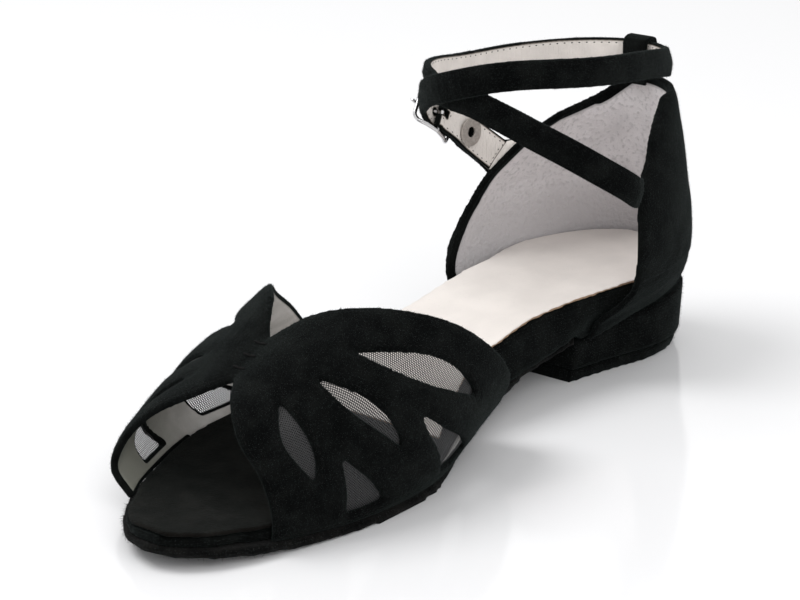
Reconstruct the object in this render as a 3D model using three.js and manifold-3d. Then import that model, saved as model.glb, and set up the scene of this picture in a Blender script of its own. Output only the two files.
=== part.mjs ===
// A right ballroom dance sandal: low block heel, open toe, fan-cut vamp,
// closed counter and one long strap that goes round the ankle and crosses in front.
// Millimetres. +X points to the toe, +Y to the medial side, +Z up.
// The origin is the middle of the heel's ground face.

import * as THREE from 'three';
import { mergeVertices } from 'three/addons/utils/BufferGeometryUtils.js';
import Module from 'manifold-3d';

const wasm = await Module();
wasm.setup();

// Sole and heel
const LENGTH = 239;
const BALL_WIDTH = 82;
const HEEL_LENGTH = 64;
const HEEL_WIDTH = 50;
const HEEL_HEIGHT = 22;
const HEEL_TAPER = 1.6;
const LIFT_HEIGHT = 4;
const OUTSOLE = 2.6;
const FOREFOOT_STACK = 6.8;
const SEAT_HEIGHT = 31.5;
const TOE_SPRING = 4.6;
const SOCK = 1.2;

// Upper
const UPPER_WALL = 2;
const FEATHER_INSET = 0.5;
const VAMP_HEIGHT = 56;
const VAMP_WIDTH = 76;
const COUNTER_HEIGHT = 90;
const COUNTER_WIDTH = 67;

// Ankle strap and its fastening
const STRAP_WIDTH = 8.8;
const STRAP_THICKNESS = 2.2;
const ANKLE_LENGTH = 92;
const ANKLE_WIDTH = 66;
const STRAP_RISE = 6.2;
const STRAP_HEIGHT = COUNTER_HEIGHT + STRAP_RISE;
const TAB_WIDTH = 10.6;
const TAB_THICKNESS = 1.8;
const WIRE = 1.4;
const BUCKLE_WIDTH = 14;
const PRONG = 1.2;
const SLEEVE = 3.2;
const BUCKLE_LENGTH = 18.5;
const BUCKLE_BOW = 3.2;
const LOOP_WIDTH = 9;
const LOOP_WALL = 1.4;
const RIVET_RADIUS = 4.6;
const RIVET_HOLE = 1.7;
const RIVET_HEIGHT = 0.7;

// Room left between two pieces that touch
const GAP = 0.3;
const WELD = 1e-3;
const NUDGE = 0.004;

const BACK = -HEEL_LENGTH / 2;
const BREAST = HEEL_LENGTH / 2;

const SUEDE = { color: 0x101314, roughness: 0.95, metalness: 0 };
const LIGHT_LEATHER = { color: 0xe9e2da, roughness: 0.6, metalness: 0 };
const SILVER = { color: 0xc9cacc, roughness: 0.25, metalness: 1 };
const RIVET_METAL = { color: 0x968e84, roughness: 0.45, metalness: 0.8 };

// Outline of the outsole. at: share of the length from the heel's back.
// medial, lateral: shares of the ball width from the centre line.
const OUTLINE = [
  { at: 0.259, medial: 0.213, lateral: 0.281 },
  { at: 0.31, medial: 0.189, lateral: 0.311 },
  { at: 0.36, medial: 0.183, lateral: 0.329 },
  { at: 0.41, medial: 0.213, lateral: 0.354 },
  { at: 0.46, medial: 0.227, lateral: 0.39 },
  { at: 0.51, medial: 0.268, lateral: 0.433 },
  { at: 0.561, medial: 0.322, lateral: 0.482 },
  { at: 0.611, medial: 0.388, lateral: 0.524 },
  { at: 0.653, medial: 0.43, lateral: 0.544 },
  { at: 0.703, medial: 0.444, lateral: 0.546 },
  { at: 0.745, medial: 0.439, lateral: 0.524 },
  { at: 0.787, medial: 0.422, lateral: 0.483 },
  { at: 0.829, medial: 0.393, lateral: 0.429 },
  { at: 0.866, medial: 0.361, lateral: 0.378 },
  { at: 0.9, medial: 0.328, lateral: 0.315 },
  { at: 0.929, medial: 0.291, lateral: 0.251 },
  { at: 0.954, medial: 0.249, lateral: 0.185 },
  { at: 0.975, medial: 0.2, lateral: 0.119 },
  { at: 0.99, medial: 0.146, lateral: 0.056 },
  { at: 0.996, medial: 0.1, lateral: 0 },
  { at: 1, medial: 0.064, lateral: -0.034 },
];

// Side profile of the underside and of the top of the insole.
// under: share of the heel height. lift: how far the top has risen to the seat height.
const PROFILE = [
  { at: 0, under: 1, lift: 1 },
  { at: 0.1, under: 0.92, lift: 0.985 },
  { at: 0.19, under: 0.78, lift: 0.96 },
  { at: 0.25, under: 0.665, lift: 0.93 },
  { at: 0.268, under: 0.61, lift: 0.92 },
  { at: 0.31, under: 0.51, lift: 0.885 },
  { at: 0.36, under: 0.445, lift: 0.82 },
  { at: 0.41, under: 0.375, lift: 0.72 },
  { at: 0.46, under: 0.27, lift: 0.58 },
  { at: 0.51, under: 0.16, lift: 0.42 },
  { at: 0.56, under: 0.065, lift: 0.265 },
  { at: 0.6, under: 0.012, lift: 0.145 },
  { at: 0.62, under: 0, lift: 0.1 },
  { at: 0.66, under: 0, lift: 0.035 },
  { at: 0.71, under: 0, lift: 0 },
  { at: 1, under: 0, lift: 0 },
];
const SPRING_START = 0.77;
const SPRING_POWER = 1.9;

// Insole outline inside the counter and along the waist, shares of the heel width.
const SEAT = [
  { at: 0, medial: 0.6, lateral: 0.6 },
  { at: 0.1, medial: 0.58, lateral: 0.56 },
  { at: 0.19, medial: 0.5, lateral: 0.52 },
  { at: 0.25, medial: 0.44, lateral: 0.5 },
  { at: 0.289, medial: 0.4, lateral: 0.5 },
  { at: 0.335, medial: 0.366, lateral: 0.49 },
  { at: 0.377, medial: 0.343, lateral: 0.483 },
  { at: 0.41, medial: 0.35, lateral: 0.49 },
];
const SEAT_START = 0.0135;
const SEAT_ROOM = 1;
const SEAT_FRONT = 0.16;
const WAIST_END = 0.41;
const UPPER_START = 0.47;
const UPPER_END = 0.925;
const BARE_TOE = 0.965;
const TOE_START = 0.9;
const TOE_MARGIN = 1.4;
const INSOLE_LEVELS = 3;
const LIP = 3;
const SOCK_JOIN = 0.598;
const SOCK_MARGIN = 0.8;
const HEEL_ROUND = { depth: 0.52, power: 2.3 };

// Half widths of the heel block at its ground face, shares of the heel width.
const HEEL_OUTLINE = [
  { at: 0, medial: 0.5, lateral: 0.5 },
  { at: 0.12, medial: 0.5, lateral: 0.5 },
  { at: 0.18, medial: 0.435, lateral: 0.485 },
  { at: 0.225, medial: 0.385, lateral: 0.465 },
  { at: 0.268, medial: 0.345, lateral: 0.44 },
];

// Rear edge of the medial half of the vamp, from the sole up to the centre seam.
// at: share of the length. side: share of the vamp width. height: share of the vamp height.
const MEDIAL_REAR = [
  { at: 0.486, side: 0.36, height: 0.24 },
  { at: 0.482, side: 0.41, height: 0.36 },
  { at: 0.506, side: 0.46, height: 0.5 },
  { at: 0.544, side: 0.484, height: 0.66 },
  { at: 0.615, side: 0.46, height: 0.886 },
  { at: 0.689, side: 0.32, height: 1.01 },
  { at: 0.736, side: 0.132, height: 0.982 },
  { at: 0.774, side: 0.017, height: 0.868 },
];
const LATERAL_REAR = [
  { at: 0.484, side: -0.525, height: 0.2 },
  { at: 0.493, side: -0.57, height: 0.33 },
  { at: 0.515, side: -0.575, height: 0.465 },
  { at: 0.562, side: -0.497, height: 0.634 },
  { at: 0.615, side: -0.42, height: 0.795 },
  { at: 0.664, side: -0.3, height: 0.928 },
  { at: 0.728, side: -0.105, height: 0.986 },
  { at: 0.774, side: 0.017, height: 0.868 },
];
// Front edge of each half, round the open toe, from the sole up to the seam.
const MEDIAL_FRONT = [
  { at: 0.888, side: 0.35, height: 0.18 },
  { at: 0.892, side: 0.317, height: 0.37 },
  { at: 0.903, side: 0.24, height: 0.577 },
  { at: 0.874, side: 0.113, height: 0.696 },
  { at: 0.839, side: 0.03, height: 0.743 },
];
const LATERAL_FRONT = [
  { at: 0.916, side: -0.385, height: 0.22 },
  { at: 0.907, side: -0.36, height: 0.368 },
  { at: 0.893, side: -0.255, height: 0.536 },
  { at: 0.871, side: -0.057, height: 0.69 },
  { at: 0.839, side: 0.03, height: 0.743 },
];
const LOW_SKEW = 0.7;
const WING_HEEL = 0.492;
const WING_TOE = { medial: 0.892, lateral: 0.912 };

// Fullness of each half. high: up towards the middle. low: sideways near the sole.
const FULLNESS = {
  medial: { high: 2.5, low: 0 },
  lateral: { high: -2, low: 2.4 },
};

// Cut-outs of one half. up: share of the way from the sole to the seam.
// across: share of the way from the rear edge to the front edge.
// The leaves run from a tip near the seam to a root; rear and front are their half widths.
const LEAVES = {
  medial: [
    { tipUp: 0.68, tipAcross: 0.36, rootUp: 0.25, rootAcross: 0.19, rear: 0.085, front: 0.07 },
    { tipUp: 0.68, tipAcross: 0.6, rootUp: 0.24, rootAcross: 0.57, rear: 0.04, front: 0.042 },
    { tipUp: 0.67, tipAcross: 0.79, rootUp: 0.23, rootAcross: 0.86, rear: 0.02, front: 0.058 },
  ],
  lateral: [
    { tipUp: 0.75, tipAcross: 0.32, rootUp: 0.28, rootAcross: 0.22, rear: 0.08, front: 0.07 },
    { tipUp: 0.75, tipAcross: 0.59, rootUp: 0.28, rootAcross: 0.66, rear: 0.04, front: 0.045 },
    { tipUp: 0.74, tipAcross: 0.79, rootUp: 0.3, rootAcross: 0.9, rear: 0.02, front: 0.04 },
  ],
};
// The triangles between the leaves widen from a tip to a base just above the sole.
const TRIANGLES = {
  medial: [
    { tipUp: 0.34, tipAcross: 0.445, baseUp: 0.07, baseRear: 0.24, baseFront: 0.41, bow: 0.03 },
    { tipUp: 0.31, tipAcross: 0.76, baseUp: 0.06, baseRear: 0.65, baseFront: 0.78, bow: 0.008 },
  ],
  lateral: [
    { tipUp: 0.36, tipAcross: 0.49, baseUp: 0.07, baseRear: 0.3, baseFront: 0.48, bow: 0.03 },
    { tipUp: 0.37, tipAcross: 0.81, baseUp: 0.06, baseRear: 0.7, baseFront: 0.83, bow: 0.01 },
  ],
};
const CUT_STEPS = 10;
const CUT_DEPTH = 5;

// Sections of the counter by height (share of its height): where its back line and its
// front edge lie along the length, and the half width there (share of the counter width).
const COUNTER_MEDIAL = [
  { height: 0.2, back: 0.002, front: 0.255, half: 0.31, belly: 0.075 },
  { height: 0.255, back: -0.002, front: 0.241, half: 0.388, belly: 0.045 },
  { height: 0.29, back: -0.003, front: 0.231, half: 0.44, belly: 0.03 },
  { height: 0.365, back: -0.003, front: 0.22, half: 0.49, belly: 0.015 },
  { height: 0.5, back: -0.002, front: 0.222, half: 0.512, belly: 0.008 },
  { height: 0.62, back: 0.003, front: 0.22, half: 0.505, belly: 0 },
  { height: 0.73, back: 0.009, front: 0.204, half: 0.47, belly: 0 },
  { height: 0.78, back: 0.013, front: 0.183, half: 0.448, belly: 0 },
  { height: 0.83, back: 0.017, front: 0.169, half: 0.425, belly: 0 },
  { height: 0.89, back: 0.022, front: 0.145, half: 0.388, belly: 0 },
  { height: 0.925, back: 0.024, front: 0.121, half: 0.358, belly: 0 },
  { height: 0.965, back: 0.027, front: 0.094, half: 0.306, belly: 0 },
  { height: 1.02, back: 0.03, front: 0.075, half: 0.25, belly: 0 },
];
const COUNTER_LATERAL = [
  { height: 0.2, back: 0.002, front: 0.285, half: 0.375, belly: 0.04 },
  { height: 0.25, back: -0.002, front: 0.288, half: 0.42, belly: 0.02 },
  { height: 0.3, back: -0.003, front: 0.288, half: 0.465, belly: 0 },
  { height: 0.371, back: -0.003, front: 0.277, half: 0.494, belly: 0 },
  { height: 0.44, back: -0.002, front: 0.258, half: 0.504, belly: 0 },
  { height: 0.508, back: -0.001, front: 0.241, half: 0.495, belly: 0 },
  { height: 0.574, back: 0.002, front: 0.223, half: 0.473, belly: 0 },
  { height: 0.647, back: 0.005, front: 0.212, half: 0.425, belly: 0 },
  { height: 0.706, back: 0.008, front: 0.195, half: 0.372, belly: 0 },
  { height: 0.763, back: 0.012, front: 0.177, half: 0.318, belly: 0 },
  { height: 0.82, back: 0.016, front: 0.151, half: 0.26, belly: 0 },
  { height: 0.845, back: 0.018, front: 0.121, half: 0.233, belly: 0 },
  { height: 0.89, back: 0.022, front: 0.075, half: 0.19, belly: 0 },
  { height: 1.02, back: 0.03, front: 0.06, half: 0.15, belly: 0 },
];
// Height of the counter's rim at the back and at the top of each front edge.
const COUNTER_ROUND = 0.87;
const FOOT_LEVEL = 0.22;
const COUNTER_STEPS = 19;
const RIM = { back: 0.973, medial: 0.955, lateral: 0.845 };

// Centre line of the ankle strap. at: share of the ankle's length, from its back.
// side: share of the ankle's width, medial positive. height: share of the strap height.
const STRAP_PATH = [
  { at: 0.52, side: 0.51, height: 0.662 },
  { at: 0.565, side: 0.55, height: 0.679 },
  { at: 0.635, side: 0.562, height: 0.72 },
  { at: 0.725, side: 0.515, height: 0.78 },
  { at: 0.81, side: 0.432, height: 0.844 },
  { at: 0.88, side: 0.315, height: 0.903 },
  { at: 0.925, side: 0.17, height: 0.955 },
  { at: 0.942, side: 0.015, height: 0.99 },
  { at: 0.93, side: -0.135, height: 1 },
  { at: 0.89, side: -0.265, height: 1.007 },
  { at: 0.83, side: -0.37, height: 1.008 },
  { at: 0.755, side: -0.445, height: 1.002 },
  { at: 0.665, side: -0.493, height: 0.99 },
  { at: 0.56, side: -0.515, height: 0.975 },
  { at: 0.45, side: -0.515, height: 0.966 },
  { at: 0.33, side: -0.485, height: 0.963 },
  { at: 0.215, side: -0.42, height: 0.962 },
  { at: 0.115, side: -0.325, height: 0.962 },
  { at: 0.04, side: -0.2, height: 0.963 },
  { at: 0.0, side: -0.06, height: 0.965 },
  { at: 0.0, side: 0.08, height: 0.967 },
  { at: 0.045, side: 0.2, height: 0.972 },
  { at: 0.12, side: 0.285, height: 0.986 },
  { at: 0.215, side: 0.34, height: 1.008 },
  { at: 0.33, side: 0.385, height: 1.03 },
  { at: 0.45, side: 0.42, height: 1.05 },
  { at: 0.58, side: 0.43, height: 1.066 },
  { at: 0.7, side: 0.405, height: 1.079 },
  { at: 0.8, side: 0.345, height: 1.088 },
  { at: 0.885, side: 0.25, height: 1.091 },
  { at: 0.945, side: 0.12, height: 1.079 },
  { at: 0.966, side: -0.03, height: 1.051 },
  { at: 0.948, side: -0.17, height: 1.018 },
  { at: 0.893, side: -0.3, height: 0.98 },
  { at: 0.81, side: -0.42, height: 0.936 },
];
const STRAP_BACK = 0.031;
const ANKLE_CENTRE = { at: 0.55, side: -0.03 };
const STRAP_STEPS = 130;
// The strap's last stretch and the tab, both told from the buckle's middle bar.
// along: towards the toe, share of the buckle's length.
// out: away from the ankle, share of the strap's thickness.
const STRAP_END = [
  { along: 0.46, out: 0.28 },
  { along: 0.2, out: 1.18 },
  { along: 0, out: 1.44 },
  { along: -0.2, out: 1.18 },
  { along: -0.46, out: 0.3 },
  { along: -0.7, out: 0.62 },
  { along: -1.15, out: 0.48 },
  { along: -1.5, out: 0.5 },
  { along: -1.9, out: 1 },
];
const TAB_PATH = [
  { along: 0, out: 0 },
  { along: -0.25, out: -0.4 },
  { along: -0.46, out: -0.58 },
  { along: -0.7, out: -0.46 },
  { along: -1.15, out: -0.64 },
  { along: -1.5, out: -0.9 },
];
const BUCKLE_CENTRE = { at: 0.652, side: -0.492, height: 0.843 };
const BUCKLE_AIM = { x: 0.75, y: -0.13, z: 0.65 };
const TAB_STEPS = 16;
const BUCKLE_ROUND = { corner: 2.2, steps: 4 };
const WIRE_SIDES = 8;
const RIVET_SIDES = 24;
const RIVET_PLACE = 0.44;
const RIVET_ROOM = 0.45;
const PRONG_PATH = [
  { along: 0.05, out: 0.62 },
  { along: 0.1, out: 1.4 },
  { along: 0.17, out: 2 },
  { along: 0.3, out: 2.15 },
  { along: 0.46, out: 2.2 },
  { along: 0.54, out: 2.15 },
];
const LOOP_LEVEL = 0.966;
const LOOP_SHIFT = 1;
const LOOP_ROOM = 1;
const LOOP_LEG = 4;
const LOOP_ROUND = { radius: 2.4, steps: 1 };

const place = (share) => BACK + share * LENGTH;
const { lerp, clamp, smoothstep } = THREE.MathUtils;

// Smooth reading of one column of a table against another, without overshoot.
function column(rows, key, by = 'at') {
  const xs = rows.map((row) => row[by]);
  const ys = rows.map((row) => row[key]);
  const slopes = xs.slice(1).map((x, i) => (ys[i + 1] - ys[i]) / (x - xs[i]));
  const tangents = xs.map((x, i) => {
    if (i === 0) return slopes[0];
    if (i === xs.length - 1) return slopes[i - 1];
    const product = slopes[i - 1] * slopes[i];
    return product <= 0 ? 0 : (2 * product) / (slopes[i - 1] + slopes[i]);
  });
  return (value) => {
    const x = clamp(value, xs[0], xs[xs.length - 1]);
    let i = 0;
    while (i < xs.length - 2 && x > xs[i + 1]) i += 1;
    const span = xs[i + 1] - xs[i];
    const t = (x - xs[i]) / span;
    const rise = t * t * (3 - 2 * t);
    const start = t * (1 - t) * (1 - t) * span * tangents[i];
    const end = t * t * (1 - t) * span * tangents[i + 1];
    return ys[i] + (ys[i + 1] - ys[i]) * rise + start - end;
  };
}

const columns = (rows, keys, by) =>
  Object.fromEntries(keys.map((key) => [key, column(rows, key, by)]));

const steps = (count, from = 0, to = 1) =>
  Array.from({ length: count + 1 }, (_, i) => from + ((to - from) * i) / count);

const profile = columns(PROFILE, ['under', 'lift']);
const outline = columns(OUTLINE, ['medial', 'lateral']);
const seat = columns(SEAT, ['medial', 'lateral']);
const heelOutline = columns(HEEL_OUTLINE, ['medial', 'lateral']);
const COUNTER_KEYS = ['back', 'front', 'half', 'belly'];
const counterSides = {
  medial: columns(COUNTER_MEDIAL, COUNTER_KEYS, 'height'),
  lateral: columns(COUNTER_LATERAL, COUNTER_KEYS, 'height'),
};

// Height of the sole's underside at a share of the length.
function under(at) {
  const spring = Math.max(at - SPRING_START, 0) / (1 - SPRING_START);
  return HEEL_HEIGHT * profile.under(at) + TOE_SPRING * spring ** SPRING_POWER;
}

// Height of what the insole and the counter stand on: the heel, then the outsole.
const floorAt = (at) =>
  under(at) + (OUTSOLE + GAP) * smoothstep(place(at), BREAST - LIP, BREAST - GAP);

// Height of the top of the sock lining.
const footbed = (at) => lerp(under(at) + FOREFOOT_STACK, SEAT_HEIGHT, profile.lift(at));

const outsoleHalf = (side, at) => BALL_WIDTH * outline[side](at);

// Half width of the counter at a place along the shoe, drawn in by a margin.
function counterHalf(side, at, height, margin) {
  const rows = counterSides[side];
  const back = rows.back(height) + margin / LENGTH;
  const along = (at - back) / (rows.front(height) - back);
  if (along <= 0) return 0;
  const turn = Math.acos(Math.max(1 - along, 0) ** (1 / COUNTER_ROUND));
  const belly = rows.belly(height) * Math.sin(2 * turn);
  return (rows.half(height) * Math.sin(turn) ** COUNTER_ROUND + belly) * COUNTER_WIDTH - margin;
}

// Half width of the insole at one height: inside the counter at the heel, its own
// outline at the waist, and the outsole's outline less the upper's room in front.
function insoleHalf(side, at, z) {
  if (at <= WAIST_END) {
    const inner = counterHalf(side, at, z / COUNTER_HEIGHT, UPPER_WALL + SEAT_ROOM);
    return Math.max(Math.min(HEEL_WIDTH * seat[side](at), inner), 0);
  }
  const upperRoom = UPPER_WALL + FEATHER_INSET + 2 * GAP;
  const waist = smoothstep(at, WAIST_END, UPPER_START);
  const fromSeat = HEEL_WIDTH * seat[side](WAIST_END) - outsoleHalf(side, WAIST_END);
  const toe = smoothstep(at, UPPER_END, BARE_TOE);
  return outsoleHalf(side, at) + lerp(fromSeat, lerp(-upperRoom, -TOE_MARGIN, toe), waist);
}

// Makes a closed geometry, drops empty triangles and turns its faces outward.
function bodyOf(positions, indices) {
  const raw = new THREE.BufferGeometry();
  raw.setAttribute('position', new THREE.Float32BufferAttribute(positions, 3));
  raw.setIndex(indices);
  const merged = mergeVertices(raw, WELD);
  const kept = [];
  const index = merged.index.array;
  for (let i = 0; i < index.length; i += 3) {
    const [a, b, c] = [index[i], index[i + 1], index[i + 2]];
    if (a !== b && b !== c && c !== a) kept.push(a, b, c);
  }
  merged.setIndex(kept);
  if (signedVolume(merged) < 0) {
    for (let i = 0; i < kept.length; i += 3) {
      [kept[i + 1], kept[i + 2]] = [kept[i + 2], kept[i + 1]];
    }
    merged.setIndex(kept);
  }
  return merged;
}

function signedVolume(geometry) {
  const p = geometry.attributes.position;
  const index = geometry.index.array;
  const [a, b, c] = [new THREE.Vector3(), new THREE.Vector3(), new THREE.Vector3()];
  let sum = 0;
  for (let i = 0; i < index.length; i += 3) {
    a.fromBufferAttribute(p, index[i]);
    b.fromBufferAttribute(p, index[i + 1]);
    c.fromBufferAttribute(p, index[i + 2]);
    sum += a.dot(b.cross(c));
  }
  return sum / 6;
}

// A body through rings of points, with flat ends unless it closes on itself.
function loft(rings, closed = false) {
  const size = rings[0].length;
  const positions = rings.flat().flatMap((p) => [p.x, p.y, p.z]);
  const indices = [];
  const last = closed ? rings.length : rings.length - 1;
  for (let i = 0; i < last; i += 1) {
    const next = ((i + 1) % rings.length) * size;
    for (let k = 0; k < size; k += 1) {
      const a = i * size + k;
      const b = i * size + ((k + 1) % size);
      const c = next + k;
      const d = next + ((k + 1) % size);
      indices.push(a, b, c, b, d, c);
    }
  }
  if (!closed) {
    const end = (rings.length - 1) * size;
    for (let k = 1; k < size - 1; k += 1) {
      indices.push(0, k + 1, k);
      indices.push(end, end + k, end + k + 1);
    }
  }
  return bodyOf(positions, indices);
}

// A body across the shoe. levels(at) lists its cross lines from the bottom up,
// each with its height z and its medial and lateral half widths.
function slab(levels, shares) {
  const rings = shares.map((at) => {
    const lines = levels(at);
    const lateral = lines.map((line) => new THREE.Vector3(place(at), -line.lateral, line.z));
    const medial = lines.map((line) => new THREE.Vector3(place(at), line.medial, line.z));
    return [...lateral, ...medial.reverse()];
  });
  return loft(rings);
}

// A sheet with a wall that grows inward from its outer face.
function shell(point, us, vs, wall) {
  const rings = us.map((u) => [
    ...vs.map((v) => point(u, v)),
    ...vs.map((v) => offset(point, u, v, -wall)).reverse(),
  ]);
  const positions = rings.flat().flatMap((p) => [p.x, p.y, p.z]);
  const size = rings[0].length;
  const half = vs.length;
  const indices = [];
  for (let i = 0; i < rings.length - 1; i += 1) {
    for (let k = 0; k < size; k += 1) {
      const a = i * size + k;
      const b = i * size + ((k + 1) % size);
      indices.push(a, b, a + size, b, b + size, a + size);
    }
  }
  [0, (rings.length - 1) * size].forEach((start, end) => {
    for (let k = 0; k < half - 1; k += 1) {
      const [a, b] = [start + k, start + k + 1];
      const [c, d] = [start + size - 1 - k, start + size - 2 - k];
      indices.push(...(end ? [a, b, c, b, d, c] : [a, c, b, b, c, d]));
    }
  });
  return bodyOf(positions, indices);
}

function offset(point, u, v, distance) {
  return point(u, v).addScaledVector(normalAt(point, u, v), distance);
}

// Outward normal of a sheet whose u runs round the shoe from medial to lateral.
function normalAt(point, u, v) {
  const du = point(u + NUDGE, v).sub(point(u - NUDGE, v));
  const dv = point(u, v + NUDGE).sub(point(u, v - NUDGE));
  return du.cross(dv).normalize();
}

// Directions at a share of a curve: along it, away from the ankle, and across.
function directions(curve, t) {
  const point = curve.getPointAt(t);
  const along = curve.getTangentAt(t);
  const out = new THREE.Vector3(point.x - ankleCentre.x, point.y - ankleCentre.y, 0);
  out.addScaledVector(along, -out.dot(along)).normalize();
  return { point, along, out, across: new THREE.Vector3().crossVectors(out, along) };
}

// A flat band along a curve. Its face looks away from the ankle.
function band(curve, count, width, thickness) {
  return loft(steps(count).map((t) => {
    const { point, out, across } = directions(curve, t);
    return [[-1, -1], [1, -1], [1, 1], [-1, 1]].map(([a, b]) => point.clone()
      .addScaledVector(out, (a * thickness) / 2)
      .addScaledVector(across, (b * width) / 2));
  }));
}

// Round wire along points; each ring stands square to the path.
function wire(points, radius, sides, closed) {
  const count = points.length;
  const start = points[1].clone().sub(points[0]);
  const bend = start.clone().cross(points[2].clone().sub(points[1]));
  const normal = (bend.length() > WELD ? bend : start.cross(THREE.Object3D.DEFAULT_UP)).normalize();
  return loft(points.map((p, i) => {
    const before = points[closed ? (i + count - 1) % count : Math.max(i - 1, 0)];
    const after = points[closed ? (i + 1) % count : Math.min(i + 1, count - 1)];
    const along = after.clone().sub(before).normalize();
    const across = new THREE.Vector3().crossVectors(along, normal).normalize();
    const rise = new THREE.Vector3().crossVectors(across, along).normalize();
    return steps(sides).slice(0, sides).map((t) => p.clone()
      .addScaledVector(across, radius * Math.cos(2 * Math.PI * t))
      .addScaledVector(rise, radius * Math.sin(2 * Math.PI * t)));
  }), closed);
}

function manifoldOf(geometry) {
  const vertProperties = new Float32Array(geometry.attributes.position.array);
  const triVerts = new Uint32Array(geometry.index.array);
  return new wasm.Manifold(new wasm.Mesh({ numProp: 3, vertProperties, triVerts }));
}

function geometryOf(solid) {
  const mesh = solid.getMesh();
  const geometry = new THREE.BufferGeometry();
  const positions = new THREE.Float32BufferAttribute(mesh.vertProperties, 3);
  geometry.setAttribute('position', positions);
  geometry.setIndex(Array.from(mesh.triVerts));
  return geometry;
}

const tableShares = (from, to) => OUTLINE.map((row) => row.at).filter((at) => at > from && at < to);

function outsole() {
  const breast = (BREAST - BACK + GAP) / LENGTH;
  const levels = (at) => [0, OUTSOLE].map((lift) => ({
    z: under(at) + lift,
    medial: outsoleHalf('medial', at),
    lateral: outsoleHalf('lateral', at),
  }));
  return slab(levels, [...steps(30, breast, TOE_START), ...tableShares(TOE_START, 1), 1]);
}

function insole() {
  const levels = (at) => {
    return steps(INSOLE_LEVELS, floorAt(at), footbed(at) - SOCK - GAP).map((z) => ({
      z,
      medial: insoleHalf('medial', at, z),
      lateral: insoleHalf('lateral', at, z),
    }));
  };
  const last = 1 - TOE_MARGIN / LENGTH;
  const breast = [BREAST - LIP, BREAST - LIP / 2, BREAST - GAP].map((x) => (x - BACK) / LENGTH);
  const waist = [...breast, ...steps(22, SEAT_FRONT, TOE_START)].sort((a, b) => a - b);
  return slab(levels, [...seatShares(), ...waist, ...tableShares(TOE_START, last), last]);
}

// Shares from the back of the seat to its front, crowded where the back is round.
const seatShares = () => steps(14).slice(0, 14)
  .map((t) => lerp(SEAT_START, SEAT_FRONT, t ** 2));

// Thin sheet on the insole from one share of the length to another.
function sock(from, to) {
  const levels = (at) => [0, SOCK].map((lift) => {
    const z = footbed(at) - SOCK + lift;
    const margin = SOCK_MARGIN * smoothstep(at, SEAT_FRONT, WAIST_END);
    return {
      z,
      medial: insoleHalf('medial', at, z) - margin,
      lateral: insoleHalf('lateral', at, z) - margin,
    };
  });
  const shares = [...seatShares(), ...steps(22, SEAT_FRONT, TOE_START), ...tableShares(TOE_START, 1)];
  return slab(levels, [from, ...shares.filter((at) => at > from && at < to), to]);
}

// Cross lines of the heel. grow 1 is its full outline at the top, 0 that of its waist.
function heelSlab(low, high) {
  const levels = (at) => [low, high].map(({ grow, z }) => {
    const inset = HEEL_TAPER * (1 - grow);
    const rest = 1 - clamp((at * LENGTH - inset) / (HEEL_ROUND.depth * HEEL_WIDTH), 0, 1);
    const round = (1 - rest ** HEEL_ROUND.power) ** (1 / HEEL_ROUND.power);
    return {
      z: z(at),
      medial: (HEEL_WIDTH * heelOutline.medial(at) - inset) * round,
      lateral: (HEEL_WIDTH * heelOutline.lateral(at) - inset) * round,
    };
  });
  const first = (HEEL_TAPER * (1 - low.grow)) / LENGTH;
  const last = (BREAST - BACK) / LENGTH;
  return slab(levels, steps(20).map((t) => lerp(first, last, t ** 2)));
}

const heelBlock = () => heelSlab(
  { grow: 0.4, z: () => LIFT_HEIGHT + GAP },
  { grow: 1, z: (at) => under(at) - GAP },
);

const heelLift = () => heelSlab({ grow: -0.6, z: () => 0 }, { grow: 0, z: () => LIFT_HEIGHT });

const vampPoint = (row) => new THREE.Vector3(
  place(row.at),
  row.side * VAMP_WIDTH,
  row.height * VAMP_HEIGHT,
);

// Where the upper meets the sole, at a share of the length.
function featherPoint(side, at) {
  const half = outsoleHalf(side, at) - FEATHER_INSET;
  return new THREE.Vector3(place(at), side === 'medial' ? half : -half, under(at) + OUTSOLE + GAP);
}

// One half of the vamp between its rear and front edges, lowered onto the sole's outline.
function wing(side, rearRows, frontRows) {
  const [heel, toe] = [WING_HEEL, WING_TOE[side]];
  const rear = new THREE.CatmullRomCurve3([featherPoint(side, heel), ...rearRows.map(vampPoint)]);
  const front = new THREE.CatmullRomCurve3([featherPoint(side, toe), ...frontRows.map(vampPoint)]);
  const sideways = new THREE.Vector3(0, side === 'medial' ? 1 : -1, 0);
  const upward = new THREE.Vector3(0, sideways.y, 1).normalize();
  const { high, low } = FULLNESS[side];
  return (u, v) => {
    const up = clamp(u, 0, 1);
    const across = clamp(v, 0, 1);
    const feather = featherPoint(side, lerp(heel, toe, across));
    const chord = rear.getPointAt(0).lerp(front.getPointAt(0), across);
    const arch = Math.sin(Math.PI * across);
    return rear.getPointAt(up).lerp(front.getPointAt(up), across)
      .addScaledVector(feather.sub(chord), 1 - up)
      .addScaledVector(upward, high * arch * Math.sin(Math.PI * up))
      .addScaledVector(sideways, low * arch * Math.sin(Math.PI * up ** LOW_SKEW));
  };
}

const wings = {
  medial: wing('medial', MEDIAL_REAR, MEDIAL_FRONT),
  lateral: wing('lateral', LATERAL_REAR, LATERAL_FRONT),
};

// Both halves as one sheet: u runs from the medial sole line (0) over the seam (1)
// to the lateral sole line (2).
const vampSheet = (u, v) => (u <= 1 ? wings.medial(u, v) : wings.lateral(2 - u, v));

// A cutter through the vamp along lines across the cut-out, given from its tip on.
// turn maps the height on one half to the whole sheet.
function cutter(lines, turn) {
  return manifoldOf(loft(lines.map(({ up, rear, front }) =>
    [[rear, 1], [front, 1], [front, -1], [rear, -1]]
      .map(([v, side]) => offset(vampSheet, turn(up), v, side * CUT_DEPTH)))));
}

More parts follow.
